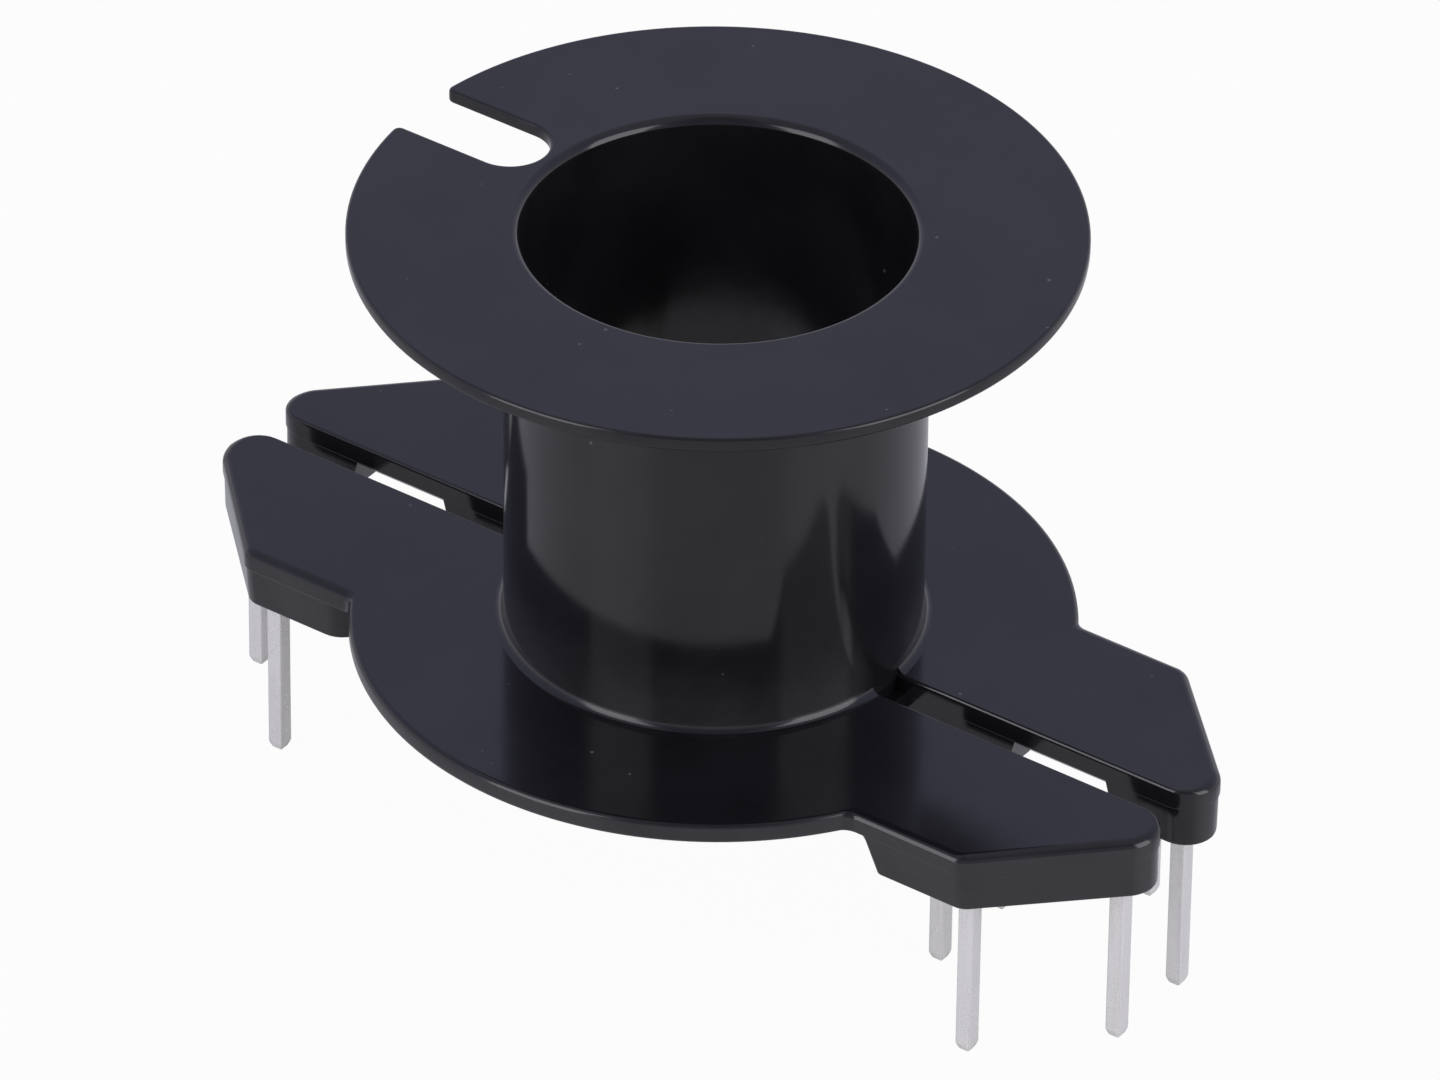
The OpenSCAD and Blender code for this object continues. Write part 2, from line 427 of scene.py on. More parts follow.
def make_relief():
    """The hollow of one wire relief: a slope from the channel's wall, with leaning end walls."""
    depth = PLATE_FOOT - BLOCK_FOOT + PAST
    run = depth / math.tan(RELIEF_ANGLE)
    flare = depth * math.tan(RELIEF_DRAFT)
    low = PLATE_FOOT - depth
    relief = box_piece(
        "relief",
        (RELIEF_START, CHANNEL_HALF - PAST, low),
        (RELIEF_START + RELIEF_L, CHANNEL_HALF, PLATE_FOOT))
    open_edit(relief)
    pick_edges(relief, lambda edge: lies_at(low, edge))
    middle = (RELIEF_START + RELIEF_L / 2, CHANNEL_HALF, low)
    spread = 1 + 2 * flare / RELIEF_L
    bpy.ops.transform.resize(value=(spread, 1, 1), center_override=middle)
    wall_y = CHANNEL_HALF - MERGE
    pick_edges(relief, lambda edge: lies_at(low, edge) and all(end.y > wall_y for end in ends(edge)))
    bpy.ops.transform.translate(value=(0, run, 0))
    close_edit()
    return relief


def draw_in_foot(block, low_y, high_y):
    """Draws a block's foot in a little from its side, so that the side wall leans."""
    open_edit(block)
    pick_edges(block, lambda edge: lies_at(BLOCK_FOOT, edge))
    share = 1 - SIDE_DRAFT / (high_y - low_y)
    bpy.ops.transform.resize(value=(1, share, 1), center_override=(0, low_y, BLOCK_FOOT))
    close_edit()


def make_lean_cutter():
    """What is cut off below a block's leaning inner wall and the fillet that runs out under the flange."""
    drop = PLATE_FOOT - BLOCK_FOOT + PAST
    low = PLATE_FOOT - drop
    outline = arc((FILLET_X, PLATE_FOOT - UNDER_FILLET_R), UNDER_FILLET_R, 90, math.degrees(BLOCK_LEAN))
    outline += [(BLOCK_INNER + drop * math.tan(BLOCK_LEAN), low)]
    outline += [(FILLET_X - PAST, low), (FILLET_X - PAST, PLATE_FOOT)]
    return drawn_piece("lean", outline, -PAST, ARM_HALF + PAST)


def make_pin_block(leaning):
    """One pin block with its boss, wire relief, pin holes and rib, on the arm at +X and the side at +Y."""
    low_y = CHANNEL_HALF + PARTING_STEP
    high_y = ARM_HALF - PARTING_STEP
    tip_x = ARM_REACH - PARTING_STEP
    tip_cut = TIP_CUT - (2 - math.sqrt(2)) * PARTING_STEP
    nose = NOSE_R - PARTING_STEP
    shoulder = SHOULDER_R - PARTING_STEP
    top = PLATE_FOOT + SUNK
    end_x = FILLET_X + SKIN if leaning else LONG_END
    block = box_piece("pin_block", (end_x, low_y, BLOCK_FOOT), (tip_x, high_y, top))
    bevel_edges(block, upright_near(tip_x, high_y), tip_cut, 1)
    bevel_edges(block, upright_near(tip_x, high_y - tip_cut), nose * HALF_CORNER, CORNER_STEPS)
    bevel_edges(block, upright_near(tip_x - tip_cut, high_y), shoulder * HALF_CORNER, CORNER_STEPS)
    bevel_edges(block, upright_near(tip_x, low_y), nose, CORNER_STEPS)
    if not leaning:
        bevel_edges(block, upright_near(end_x, high_y), LONG_END_R, CORNER_STEPS)
    merge_flat_faces(block)
    draw_in_foot(block, low_y, high_y)

    def at_corner(edge):
        """True for the edges where the inner wall and its fillet meet the side wall."""
        a, b = ends(edge)
        middle = (a + b) / 2
        side_y = high_y - SIDE_DRAFT * (top - middle.z) / (top - BLOCK_FOOT)
        low_enough = max(a.z, b.z) < PLATE_FOOT + MERGE
        rises = abs(a.z - b.z) > MERGE
        at_side = abs(middle.y - side_y) < SIDE_SLACK
        return low_enough and rises and at_side and middle.x < BLOCK_INNER + PAST

    if leaning:
        cut(block, make_lean_cutter())
        merge_flat_faces(block)
        bevel_edges(block, at_corner, BLOCK_CORNER_R, EDGE_STEPS)

    boss_y = CHANNEL_HALF + BOSS_W
    boss = box_piece("boss", (BOSS_INNER, low_y, BLOCK_FOOT), (BLOCK_INNER + PAST, boss_y, top))
    bevel_edges(boss, upright_near(BOSS_INNER, low_y), INNER_R, CORNER_STEPS)
    bevel_edges(boss, upright_near(BOSS_INNER, boss_y), INNER_R, CORNER_STEPS)
    join(block, boss)
    merge_flat_faces(block)
    cut(block, make_relief())
    merge_flat_faces(block)
    bevel_edges(block, lambda edge: lies_at(BLOCK_FOOT, edge), FOOT_EDGE_R, EDGE_STEPS)

    for low, high in (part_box(node) for node in pin_nodes):
        if low.x > 0 and low.y > 0:
            corner = (low.x / MM - SKIN, low.y / MM - SKIN, low.z / MM)
            far = (high.x / MM + SKIN, high.y / MM + SKIN, high.z / MM)
            cut(block, box_piece("pin_hole", corner, far))
    rib_y = low_y + SKIN
    rib = box_piece(
        "rib",
        (RIB_START, rib_y, PLATE_FOOT - RIB_H),
        (BOSS_INNER + PAST, rib_y + RIB_W, top - SKIN))
    bevel_edges(rib, upright_near(RIB_START, rib_y + RIB_W), INNER_R, CORNER_STEPS)
    join(block, rib)
    return block


def make_pin_blocks():
    """All four pin blocks: each arm has a leaning one at one side and a long one at the other."""
    blocks = make_pin_block(True)
    blocks.scale = (1, -1, 1)
    make_active(blocks)
    bpy.ops.object.transform_apply(location=True, rotation=True, scale=True)
    open_edit(blocks)
    close_shape()
    join(blocks, make_pin_block(False))
    other_arm = blocks.copy()
    other_arm.data = blocks.data.copy()
    other_arm.data.transform(Matrix.Rotation(math.pi, 4, "Z"))
    bpy.context.scene.collection.objects.link(other_arm)
    join(blocks, other_arm)
    return blocks


def make_rib_bridges():
    """Where the ribs of an arm's two halves meet across the channel's inner end."""
    half = CHANNEL_HALF + INNER_R
    bridges = box_piece(
        "rib_bridges",
        (RIB_START + SKIN, -half, PLATE_FOOT - RIB_H + SKIN),
        (TUBE_R + RIB_BRIDGE, half, PLATE_FOOT + SUNK / 2))
    repeat_mirrored(bridges, True, False)
    return bridges


def make_tube():
    """The tube with its root fillets, still solid inside, opened where the channels end at it."""
    root = TUBE_R + ROOT_R
    top_root = TUBE_R + TOP_ROOT_R
    foot = PLATE_FOOT - SKIN
    skirt = PLATE_TOP - ARM_EDGE_R
    outline = [(0, foot), (TUBE_R, foot), (TUBE_R, skirt), (root, skirt)]
    outline += arc((root, PLATE_TOP - SKIN + ROOT_R), ROOT_R, 270, 180)
    outline += arc((top_root, TOP_FLANGE_FOOT + SKIN - TOP_ROOT_R), TOP_ROOT_R, 180, 90)
    outline += [(top_root, TOP_FLANGE_FOOT + SUNK), (0, TOP_FLANGE_FOOT + SUNK)]
    tube = turned_piece("tube", outline)
    half = CHANNEL_HALF + CHANNEL_EDGE_R
    channel_ends = box_piece(
        "channel_ends",
        (TUBE_R - CHANNEL_BITE, -half, PLATE_FOOT - PAST),
        (root + PAST, half, PLATE_TOP + ROOT_R))
    repeat_mirrored(channel_ends, True, False)
    cut(tube, channel_ends)
    half = SLOT_HALF + RIM_R + SUNK
    slot_end = box_piece(
        "slot_end",
        (-top_root - PAST, -half, TOP_FLANGE_FOOT - TOP_ROOT_R),
        (-TUBE_R + CHANNEL_BITE, half, SPOOL_TOP))
    cut(tube, slot_end)
    return tube


def make_top_flange():
    """The top flange with its wire slot and rounded edges."""
    flange = disc_piece("top_flange", FLANGE_R, TOP_FLANGE_FOOT, SPOOL_TOP)
    end_x = TUBE_R + SLOT_LAND + SLOT_HALF
    low, high = TOP_FLANGE_FOOT - PAST, SPOOL_TOP + PAST
    cut(flange, box_piece("slot", (-FLANGE_R - PAST, -SLOT_HALF, low), (-end_x, SLOT_HALF, high)))
    cut(flange, disc_piece("slot_end", SLOT_HALF, low, high, centre=(-end_x, 0)))
    merge_flat_faces(flange)
    mouth_x = math.sqrt(FLANGE_R ** 2 - SLOT_HALF ** 2)
    bevel_edges(flange, upright_near(mouth_x, SLOT_HALF), SLOT_MOUTH_R, CORNER_STEPS)
    bevel_edges(
        flange,
        lambda edge: lies_at(SPOOL_TOP, edge) or lies_at(TOP_FLANGE_FOOT, edge),
        RIM_R,
        EDGE_STEPS)
    return flange


def make_bore_cutter():
    """The bore's hollow, flared at both ends to leave rounded mouths."""
    mouth = BORE_R + MOUTH_R
    outline = [(0, PLATE_FOOT - PAST), (mouth, PLATE_FOOT - PAST)]
    outline += arc((mouth, PLATE_FOOT - SKIN + MOUTH_R), MOUTH_R, 270, 180)
    outline += arc((mouth, SPOOL_TOP + SKIN - MOUTH_R), MOUTH_R, 180, 90)
    outline += [(mouth, SPOOL_TOP + PAST), (0, SPOOL_TOP + PAST)]
    return turned_piece("bore", outline)


def finish_piece(piece, material, slot, *nodes):
    """Brings a modelled piece to metres, smooths its shading and seats it in the frame."""
    make_active(piece)
    piece.scale = (MM, MM, MM)
    bpy.ops.object.transform_apply(location=True, rotation=True, scale=True)
    bpy.ops.object.shade_smooth_by_angle(angle=SHARP_ANGLE)
    normals = piece.modifiers.new("even normals", "WEIGHTED_NORMAL")
    normals.keep_sharp = True
    normals.weight = LARGE_FACE_WEIGHT
    apply_all(piece)
    piece.data.materials.clear()
    piece.data.materials.append(material)
    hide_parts(*nodes)
    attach(piece, "root")


def make_former(material):
    """The whole black moulding in one piece."""
    body = make_foot_plate()
    join(body, make_pin_blocks())
    join(body, make_rib_bridges())
    join(body, make_tube())
    join(body, make_top_flange())
    cut(body, make_bore_cutter())
    finish_piece(body, material, "black_moulding", "coil_former")


def make_pins(material):
    """One square pin with rounded edges and a tapered tip, copied to every pin place."""
    low, high = (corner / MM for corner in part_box(pin_nodes[0]))
    half = (high.x - low.x) / 2
    pattern = box_piece("pin_pattern", (-half, -half, 0), (half, half, high.z))
    open_edit(pattern)
    bpy.ops.mesh.select_all(action="SELECT")
    bpy.ops.mesh.bisect(plane_co=(0, 0, PIN_TIP_L), plane_no=(0, 0, 1))
    pick_edges(pattern, lambda edge: lies_at(0, edge))
    taper = PIN_TIP_W / (2 * half)
    bpy.ops.transform.resize(value=(taper, taper, 1), center_override=(0, 0, 0))
    bpy.ops.mesh.select_all(action="SELECT")
    bpy.ops.mesh.bevel(offset=PIN_EDGE_R, segments=PIN_EDGE_STEPS, affect="EDGES")
    close_edit()
    for node in pin_nodes:
        low, high = (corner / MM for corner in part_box(node))
        pin = pattern.copy()
        pin.data = pattern.data.copy()
        pin.name = node.replace("terminal", "tinned")
        bpy.context.scene.collection.objects.link(pin)
        pin.data.transform(Matrix.Translation(((low.x + high.x) / 2, (low.y + high.y) / 2, 0)))
        finish_piece(pin, material, "tinned_pin", node)
    bpy.data.objects.remove(pattern)


def new_material(name):
    """An empty node material with its output."""
    material = bpy.data.materials.new(name)
    material.use_nodes = True
    nodes = material.node_tree.nodes
    nodes.clear()
    output = nodes.new("ShaderNodeOutputMaterial")
    return material, nodes, material.node_tree.links, output


def new_group(name, inputs, outputs):
    """An empty shader node group with named sockets."""
    group = bpy.data.node_groups.new(name, "ShaderNodeTree")
    for socket, kind in inputs:
        group.interface.new_socket(name=socket, in_out="INPUT", socket_type=kind)
    for socket, kind in outputs:
        group.interface.new_socket(name=socket, in_out="OUTPUT", socket_type=kind)
    entry = group.nodes.new("NodeGroupInput")
    leave = group.nodes.new("NodeGroupOutput")
    return group, entry, leave


def math_node(tree, operation, *values):
    """A math node on numbers or sockets; gives its output socket."""
    node = tree.nodes.new("ShaderNodeMath")
    node.operation = operation
    for socket, value in zip(node.inputs, values):
        if isinstance(value, (int, float)):
            socket.default_value = value
        else:
            tree.links.new(value, socket)
    return node.outputs[0]


def ramp_node(tree, value, from_low, from_high, to_low, to_high):
    """Maps a value smoothly from one range to another; gives the output socket."""
    node = tree.nodes.new("ShaderNodeMapRange")
    node.interpolation_type = "SMOOTHSTEP"
    tree.links.new(value, node.inputs["Value"])
    node.inputs["From Min"].default_value = from_low
    node.inputs["From Max"].default_value = from_high
    node.inputs["To Min"].default_value = to_low
    node.inputs["To Max"].default_value = to_high
    return node.outputs["Result"]


def noise_node(tree, place, scale, detail, roughness=0.5):
    """Noise at a place; scale is a number or a socket. Gives the value's socket."""
    node = tree.nodes.new("ShaderNodeTexNoise")
    tree.links.new(place, node.inputs["Vector"])
    if isinstance(scale, (int, float)):
        node.inputs["Scale"].default_value = scale
    else:
        tree.links.new(scale, node.inputs["Scale"])
    node.inputs["Detail"].default_value = detail
    node.inputs["Roughness"].default_value = roughness
    return node.outputs["Fac"]


def blend_colour(tree, factor, first, second):
    """Mixes two colours, given as numbers or sockets, by a factor; gives the colour's socket."""
    node = tree.nodes.new("ShaderNodeMix")
    node.data_type = "RGBA"
    tree.links.new(factor, node.inputs["Factor"])
    for socket, value in zip((node.inputs["A"], node.inputs["B"]), (first, second)):
        if isinstance(value, tuple):
            socket.default_value = (*value, 1)
        else:
            tree.links.new(value, socket)
    return node.outputs["Result"]


def bump_node(tree, height, strength, depth):
    """Raises a surface by a height; gives the node."""
    node = tree.nodes.new("ShaderNodeBump")
    node.inputs["Strength"].default_value = strength
    node.inputs["Distance"].default_value = depth
    tree.links.new(height, node.inputs["Height"])
    return node


def vector_node(tree, operation, first, second=(0, 0, 0)):
    """A vector math node on a socket and a plain vector; gives the node."""
    node = tree.nodes.new("ShaderNodeVectorMath")
    node.operation = operation
    tree.links.new(first, node.inputs[0])
    node.inputs[1].default_value = second
    return node


def split_node(tree, vector):
    """The X, Y and Z of a vector; gives the node."""
    node = tree.nodes.new("ShaderNodeSeparateXYZ")
    tree.links.new(vector, node.inputs["Vector"])
    return node


def dust_group():
    """Sparse specks of dust: one mask, with the specks' spacing and the share of places that hold one."""
    group, entry, leave = new_group(
        "dust_specks",
        [("Place", "NodeSocketVector"), ("Specks per metre", "NodeSocketFloat"),
         ("Size", "NodeSocketFloat"), ("Share", "NodeSocketFloat")],
        [("Mask", "NodeSocketFloat")])
    cells = group.nodes.new("ShaderNodeTexVoronoi")
    group.links.new(entry.outputs["Place"], cells.inputs["Vector"])
    group.links.new(entry.outputs["Specks per metre"], cells.inputs["Scale"])
    draw = group.nodes.new("ShaderNodeSeparateColor")
    group.links.new(cells.outputs["Color"], draw.inputs["Color"])
    held = math_node(group, "LESS_THAN", draw.outputs["Red"], entry.outputs["Share"])
    size = math_node(group, "MULTIPLY", entry.outputs["Size"], draw.outputs["Green"])
    near = math_node(group, "LESS_THAN", cells.outputs["Distance"], size)
    group.links.new(math_node(group, "MULTIPLY", held, near), leave.inputs["Mask"])
    return group


# Marks of handling: where patches and rubs start and end in their noise, and how faint a rub may be
PATCH_SPAN = (0.42, 0.68)
RUBS_PER_PATCH = 7.0
RUB_SPAN = (0.35, 0.65)
RUB_LEAST = 0.45


def handling_group():
    """Marks of handling: soft dull patches, broken up by finer rubs."""
    group, entry, leave = new_group(
        "handling_marks",
        [("Place", "NodeSocketVector"), ("Patches per metre", "NodeSocketFloat")],
        [("Mask", "NodeSocketFloat")])
    place, spacing = entry.outputs["Place"], entry.outputs["Patches per metre"]
    patches = noise_node(group, place, spacing, detail=2.0)
    finer = math_node(group, "MULTIPLY", spacing, RUBS_PER_PATCH)
    rubs = noise_node(group, place, finer, detail=4.0, roughness=0.6)
    soft = ramp_node(group, patches, *PATCH_SPAN, 0.0, 1.0)
    broken = ramp_node(group, rubs, *RUB_SPAN, RUB_LEAST, 1.0)
    group.links.new(math_node(group, "MULTIPLY", soft, broken), leave.inputs["Mask"])
    return group


def place_group(nodes, links, group, place, **values):
    """Puts a shared group into a material with its own values."""
    node = nodes.new("ShaderNodeGroup")
    node.node_tree = group
    links.new(place, node.inputs["Place"])
    for name, value in values.items():
        node.inputs[name.replace("_", " ")].default_value = value
    return node


# Black moulding: its colours, the spacing of its marks per metre and how strong they are
MOULDING_DARK = (0.0070, 0.0070, 0.0080)
MOULDING_LIGHT = (0.0115, 0.0115, 0.0130)
MOTTLE_PER_M = 260
MOTTLE_SPAN = (0.3, 0.7)
# Painted light: a paler tone on low upright walls that stands in for the table's reflection in them
PAINTED_WALL_LIGHT = (0.030, 0.029, 0.030)
PAINTED_LIGHT_TILT = (0.3, 0.6)
PAINTED_LIGHT_SPAN = (0.25, 0.6)
PAINTED_LIGHT_LEAST = 0.5
DUST_COLOUR = (0.16, 0.16, 0.165)
DUST_PER_M = 1000
DUST_SIZE = 0.07
DUST_SHARE = 0.6
DUST_COVER = 0.55
DUST_DULL = 0.4
MARKS_PER_M = 210
MARK_DULL = 0.07
SKIN_ROUGHNESS = 0.12
WAVES_PER_M = 130
WAVE_STRENGTH = 0.35
WAVE_DEPTH = 0.00006
GRAIN_PER_M = 5200
GRAIN_STRENGTH = 0.12
GRAIN_DEPTH = 0.000004


def painted_wall_light_mask(tree, place, mottle):
    """Painted reflected light: where upright walls are painted paler, low down, away from the channels and
    unevenly.
    """
    spot = split_node(tree, place)
    facing = split_node(tree, tree.nodes.new("ShaderNodeNewGeometry").outputs["True Normal"])
    tilt = math_node(tree, "ABSOLUTE", facing.outputs["Z"])
    upright = ramp_node(tree, tilt, *PAINTED_LIGHT_TILT, 1.0, 0.0)
    low = ramp_node(tree, spot.outputs["Z"], PLATE_TOP * MM, SPOOL_TOP * MM / 2, 1.0, 0.0)
    beside = math_node(tree, "ABSOLUTE", spot.outputs["Y"])
    outside = ramp_node(tree, beside, CHANNEL_HALF * MM, (CHANNEL_HALF + NOSE_R) * MM, 0.0, 1.0)
    uneven = ramp_node(tree, mottle, *PAINTED_LIGHT_SPAN, PAINTED_LIGHT_LEAST, 1.0)
    outer_low = math_node(tree, "MULTIPLY", low, outside)
    walls = math_node(tree, "MULTIPLY", upright, outer_low)
    return math_node(tree, "MULTIPLY", walls, uneven)


def black_moulding(dust, handling):
    """Black plastic with a glossy skin: mottling, shallow waves, painted reflected light on low walls,
    marks and dust.
    """
    material, nodes, links, output = new_material("black_moulding")
    tree = material.node_tree
    place = nodes.new("ShaderNodeTexCoord").outputs["Object"]
    mottle = noise_node(tree, place, MOTTLE_PER_M, detail=4.0, roughness=0.6)
    lighter = ramp_node(tree, mottle, *MOTTLE_SPAN, 0.0, 1.0)
    skin_colour = blend_colour(tree, lighter, MOULDING_DARK, MOULDING_LIGHT)
    # Painted reflected light makes the low upright walls paler
    skin_and_painted_light = blend_colour(tree, painted_wall_light_mask(tree, place, mottle), skin_colour, PAINTED_WALL_LIGHT)
    specks = place_group(
        nodes, links, dust, place,
        Specks_per_metre=DUST_PER_M, Size=DUST_SIZE, Share=DUST_SHARE).outputs["Mask"]
    dusty = math_node(tree, "MULTIPLY", specks, DUST_COVER)
    colour = blend_colour(tree, dusty, skin_and_painted_light, DUST_COLOUR)
    marks = place_group(nodes, links, handling, place, Patches_per_metre=MARKS_PER_M).outputs["Mask"]
    dull = math_node(tree, "MULTIPLY_ADD", marks, MARK_DULL, SKIN_ROUGHNESS)
    gloss = math_node(tree, "ADD", dull, math_node(tree, "MULTIPLY", specks, DUST_DULL))
    waves = bump_node(tree, noise_node(tree, place, WAVES_PER_M, detail=1.0), WAVE_STRENGTH, WAVE_DEPTH)
    grain = bump_node(tree, noise_node(tree, place, GRAIN_PER_M, detail=2.0), GRAIN_STRENGTH, GRAIN_DEPTH)
    links.new(waves.outputs["Normal"], grain.inputs["Normal"])
    skin = nodes.new("ShaderNodeBsdfPrincipled")
    links.new(colour, skin.inputs["Base Color"])
    links.new(gloss, skin.inputs["Roughness"])
    links.new(grain.outputs["Normal"], skin.inputs["Normal"])
    links.new(skin.outputs["BSDF"], output.inputs["Surface"])
    return material


# Tinned pins: their colours, the spacing of their marks per metre and how strong they are
TIN_BRIGHT = (0.985, 0.965, 0.935)
TIN_DULL = (0.93, 0.91, 0.88)
TIN_METALLIC = 0.65
TIN_GLOSS_SPAN = (0.3, 1.0)
TIN_ROUGHNESS = (0.20, 0.40)
STREAK_STRETCH = (1, 1, 0.03)
STREAKS_PER_M = 5000
STREAK_SPAN = (0.38, 0.62)
RIDGE_STRENGTH = 0.04
RIDGE_DEPTH = 0.000012
PIN_MARKS_PER_M = 700
PIN_WEAR = 0.5
PIN_DUST_PER_M = 1600
PIN_DUST_SIZE = 0.06
PIN_DUST_SHARE = 0.3
PIN_DUST_COVER = 0.5


def tinned_pin(dust, handling):
    """Dull tin plate: streaks drawn along the pin, duller patches and a little dust."""
    material, nodes, links, output = new_material("tinned_pin")
    tree = material.node_tree
    place = nodes.new("ShaderNodeTexCoord").outputs["Object"]
    drawn = nodes.new("ShaderNodeMapping")
    drawn.inputs["Scale"].default_value = STREAK_STRETCH
    links.new(place, drawn.inputs["Vector"])
    streaks = noise_node(tree, drawn.outputs["Vector"], STREAKS_PER_M, detail=3.0, roughness=0.65)
    marks = place_group(nodes, links, handling, place, Patches_per_metre=PIN_MARKS_PER_M).outputs["Mask"]
    specks = place_group(
        nodes, links, dust, place,
        Specks_per_metre=PIN_DUST_PER_M, Size=PIN_DUST_SIZE, Share=PIN_DUST_SHARE).outputs["Mask"]
    streaky = ramp_node(tree, streaks, *STREAK_SPAN, 0.0, 1.0)
    worn = math_node(tree, "MULTIPLY", marks, PIN_WEAR)
    dulled = math_node(tree, "MAXIMUM", streaky, worn)
    tin = blend_colour(tree, dulled, TIN_BRIGHT, TIN_DULL)
    dusty = math_node(tree, "MULTIPLY", specks, PIN_DUST_COVER)
    colour = blend_colour(tree, dusty, tin, TIN_DULL)
    gloss = ramp_node(tree, math_node(tree, "ADD", streaks, worn), *TIN_GLOSS_SPAN, *TIN_ROUGHNESS)
    ridges = bump_node(tree, streaks, RIDGE_STRENGTH, RIDGE_DEPTH)
    metal = nodes.new("ShaderNodeBsdfPrincipled")
    metal.inputs["Metallic"].default_value = TIN_METALLIC
    links.new(colour, metal.inputs["Base Color"])
    links.new(gloss, metal.inputs["Roughness"])
    links.new(ridges.outputs["Normal"], metal.inputs["Normal"])
    links.new(metal.outputs["BSDF"], output.inputs["Surface"])
    return material


# Camera place, fitted to the photograph's view, in millimetres from the frame's origin
VIEW_AZIMUTH = math.radians(35.29)
VIEW_ELEVATION = math.radians(35.15)
VIEW_ROLL = math.radians(0.70)
VIEW_DISTANCE = 446.57
VIEW_RIGHT = 0.304
VIEW_UP = 9.50
FOCAL_PX = 13088
FRAME_W_PX = 1440
SENSOR_W = 36.0
LENS_CLIP = 0.01

# Room: its tones by height, from level to overhead, and how dim it is where the viewer stands
ROOM_TONES = (
    (0.0, (0.95, 0.95, 1.0)),
    (0.25, (0.62, 0.62, 0.76)),
    (0.45, (0.52, 0.52, 0.73)),
    (0.70, (0.46, 0.46, 0.66)),
    (0.95, (0.45, 0.45, 0.52)))
ROOM_FRONT = 0.45
ROOM_FRONT_SPAN = (0.72, 0.97)

# Softboxes: how high they stand, then how far off and how tall they are, in metres
SOFTBOX_RISE = math.radians(24)
SOFTBOX_DISTANCE = 0.45
SOFTBOX_H = 0.36

# Table, grey for light that bounces and white for what is seen
TABLE_SIZE = 3
TABLE_COLOUR = (0.52, 0.52, 0.52, 1)
TABLE_SHEEN = 0.11
TABLE_ROUGHNESS = 0.3
SEEN_WHITE = 0.96
GLOSS_WHITE = 0.26


def direction_at(azimuth, elevation):
    """The direction from the object to an azimuth and an elevation; azimuth 0 is at -Y."""
    return Vector((
        math.sin(azimuth) * math.cos(elevation),
        -math.cos(azimuth) * math.cos(elevation),
        math.sin(elevation)))


def add_camera():
    """A long lens at the photograph's viewing angle."""
    back = direction_at(VIEW_AZIMUTH, VIEW_ELEVATION)
    level = Vector((math.cos(VIEW_AZIMUTH), math.sin(VIEW_AZIMUTH), 0))
    upward = back.cross(level)
    right = math.cos(VIEW_ROLL) * level + math.sin(VIEW_ROLL) * upward
    up = -math.sin(VIEW_ROLL) * level + math.cos(VIEW_ROLL) * upward
    place = (back * VIEW_DISTANCE + right * VIEW_RIGHT + up * VIEW_UP) * MM
    lens = bpy.data.cameras.new("camera")
    lens.sensor_fit = "HORIZONTAL"
    lens.sensor_width = SENSOR_W
    lens.lens = FOCAL_PX / FRAME_W_PX * SENSOR_W
    lens.clip_start = LENS_CLIP
    camera = bpy.data.objects.new("camera", lens)
    bpy.context.scene.collection.objects.link(camera)
    turn = Matrix((right, up, back)).transposed().to_4x4()
    camera.matrix_world = Matrix.Translation(place) @ turn
    bpy.context.scene.camera = camera


def white_for_seen_rays(tree):
    """How much plain white a ray meets: nearly all for the camera and glass, a part for gloss."""
    path = tree.nodes.new("ShaderNodeLightPath")
    glossy = math_node(tree, "MULTIPLY", path.outputs["Is Glossy Ray"], GLOSS_WHITE)
    direct = math_node(tree, "MAXIMUM", path.outputs["Is Camera Ray"], path.outputs["Is Transmission Ray"])
    return math_node(tree, "MAXIMUM", math_node(tree, "MULTIPLY", direct, SEEN_WHITE), glossy)


def add_table():
    """A plain table top, nearly white to the camera, that keeps the object's shadow."""
    deselect()
    bpy.ops.mesh.primitive_plane_add(size=TABLE_SIZE)
    table = bpy.context.object
    table.name = "table"
    material, nodes, links, output = new_material("white_table")
    paper = nodes.new("ShaderNodeBsdfDiffuse")
    paper.inputs["Color"].default_value = TABLE_COLOUR
    glow = nodes.new("ShaderNodeEmission")
    glow.inputs["Strength"].default_value = 1.0
    mix = nodes.new("ShaderNodeMixShader")
    links.new(white_for_seen_rays(material.node_tree), mix.inputs["Fac"])
    sheen = nodes.new("ShaderNodeBsdfGlossy")
    sheen.inputs["Roughness"].default_value = TABLE_ROUGHNESS
    top = nodes.new("ShaderNodeMixShader")
    top.inputs["Fac"].default_value = TABLE_SHEEN
    links.new(paper.outputs["BSDF"], top.inputs[1])
    links.new(sheen.outputs["BSDF"], top.inputs[2])
    links.new(top.outputs["Shader"], mix.inputs[1])
    links.new(glow.outputs["Emission"], mix.inputs[2])
    links.new(mix.outputs["Shader"], output.inputs["Surface"])
    table.data.materials.append(material)


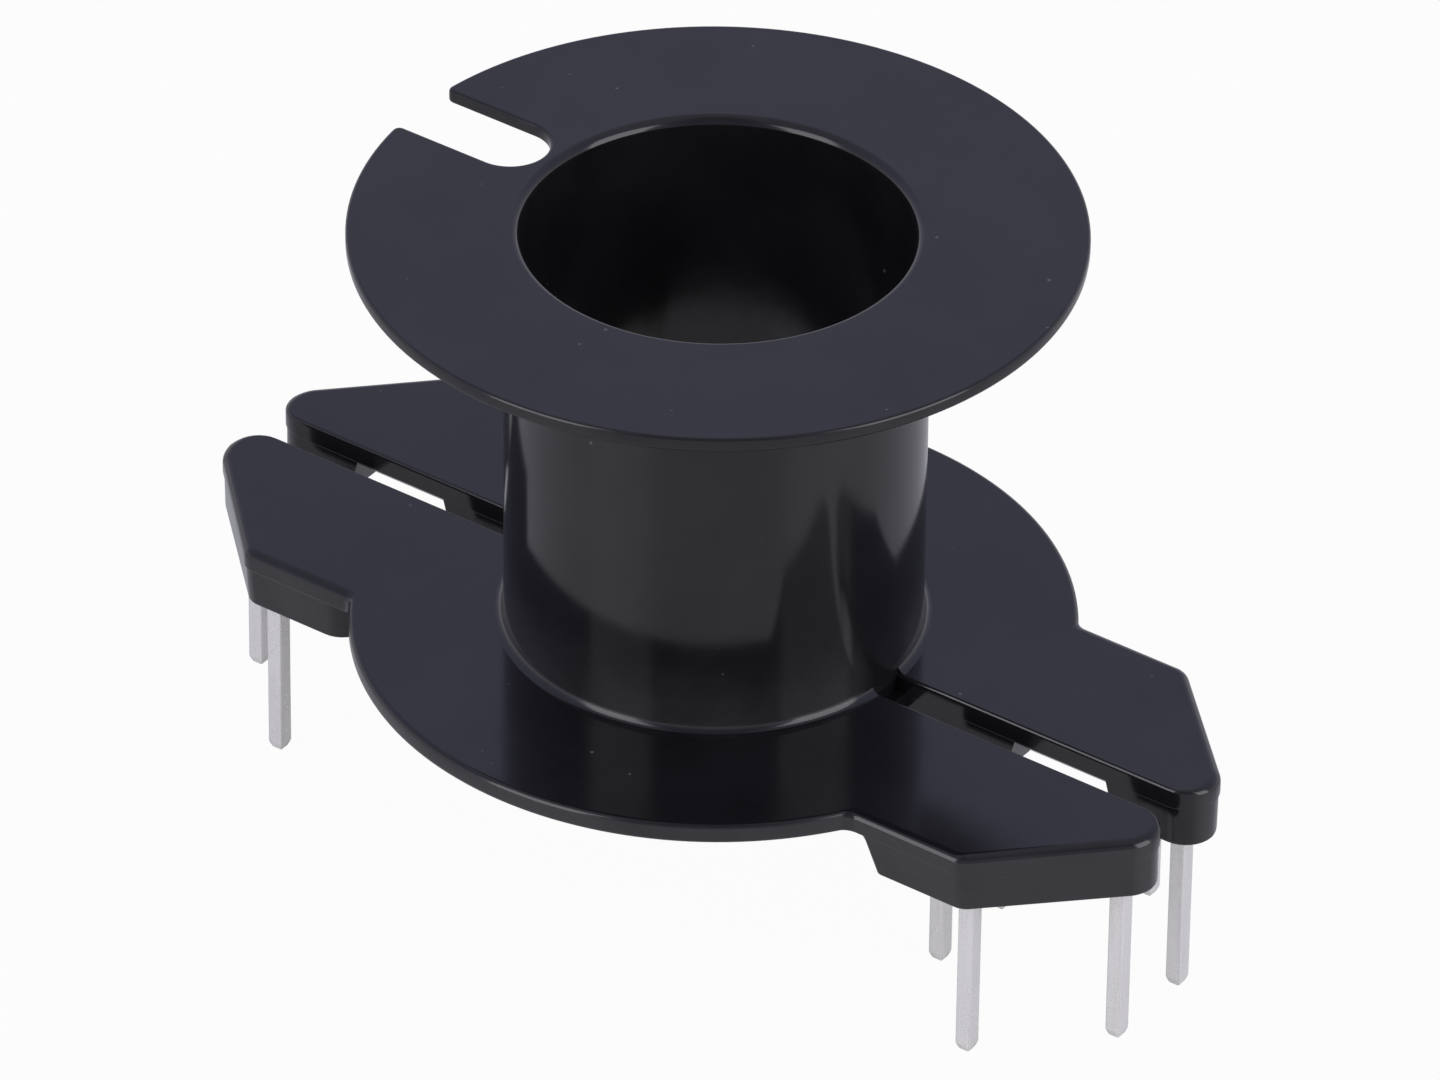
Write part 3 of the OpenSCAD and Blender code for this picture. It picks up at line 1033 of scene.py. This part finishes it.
def add_room():
    """Soft bluish light from the room, dimmer overhead and in front, and white where the camera sees it."""
    world = bpy.data.worlds.new("room")
    bpy.context.scene.world = world
    world.use_nodes = True
    tree = world.node_tree
    nodes, links = tree.nodes, tree.links
    nodes.clear()
    output = nodes.new("ShaderNodeOutputWorld")
    direction = nodes.new("ShaderNodeTexCoord").outputs["Generated"]
    ramp = nodes.new("ShaderNodeValToRGB")
    links.new(split_node(tree, direction).outputs["Z"], ramp.inputs["Fac"])
    stops = ramp.color_ramp.elements
    for stop, (height, colour) in zip(stops, (ROOM_TONES[0], ROOM_TONES[-1])):
        stop.position = height
        stop.color = (*colour, 1)
    for height, colour in ROOM_TONES[1:-1]:
        stops.new(height).color = (*colour, 1)
    level = vector_node(tree, "MULTIPLY", direction, (1, 1, 0))
    heading = vector_node(tree, "NORMALIZE", level.outputs["Vector"])
    front = vector_node(tree, "DOT_PRODUCT", heading.outputs["Vector"], direction_at(VIEW_AZIMUTH, 0))
    wall = nodes.new("ShaderNodeBackground")
    links.new(ramp.outputs["Color"], wall.inputs["Color"])
    dim = ramp_node(tree, front.outputs["Value"], *ROOM_FRONT_SPAN, 1.0, ROOM_FRONT)
    links.new(dim, wall.inputs["Strength"])
    white = nodes.new("ShaderNodeBackground")
    white.inputs["Color"].default_value = (1, 1, 1, 1)
    path = nodes.new("ShaderNodeLightPath")
    mix = nodes.new("ShaderNodeMixShader")
    links.new(path.outputs["Is Camera Ray"], mix.inputs["Fac"])
    links.new(wall.outputs["Background"], mix.inputs[1])
    links.new(white.outputs["Background"], mix.inputs[2])
    links.new(mix.outputs["Shader"], output.inputs["Surface"])


def add_softbox(name, turn, width, radiance):
    """A soft panel that faces the object, turned from the camera's side about Z by some degrees."""
    place = direction_at(VIEW_AZIMUTH + math.radians(turn), SOFTBOX_RISE) * SOFTBOX_DISTANCE
    light = bpy.data.lights.new(name, "AREA")
    light.shape = "RECTANGLE"
    light.size = width
    light.size_y = SOFTBOX_H
    light.energy = radiance * math.pi * width * SOFTBOX_H
    panel = bpy.data.objects.new(name, light)
    bpy.context.scene.collection.objects.link(panel)
    panel.location = place
    panel.rotation_euler = place.to_track_quat("Z", "Y").to_euler()


dust_specks = dust_group()
handling_marks = handling_group()
make_former(black_moulding(dust_specks, handling_marks))
make_pins(tinned_pin(dust_specks, handling_marks))
add_table()
add_room()
add_softbox("left_softbox", turn=-52, width=0.24, radiance=2.6)
add_softbox("right_softbox", turn=58, width=0.28, radiance=2.5)
add_camera()
bpy.context.scene.view_settings.view_transform = "Standard"
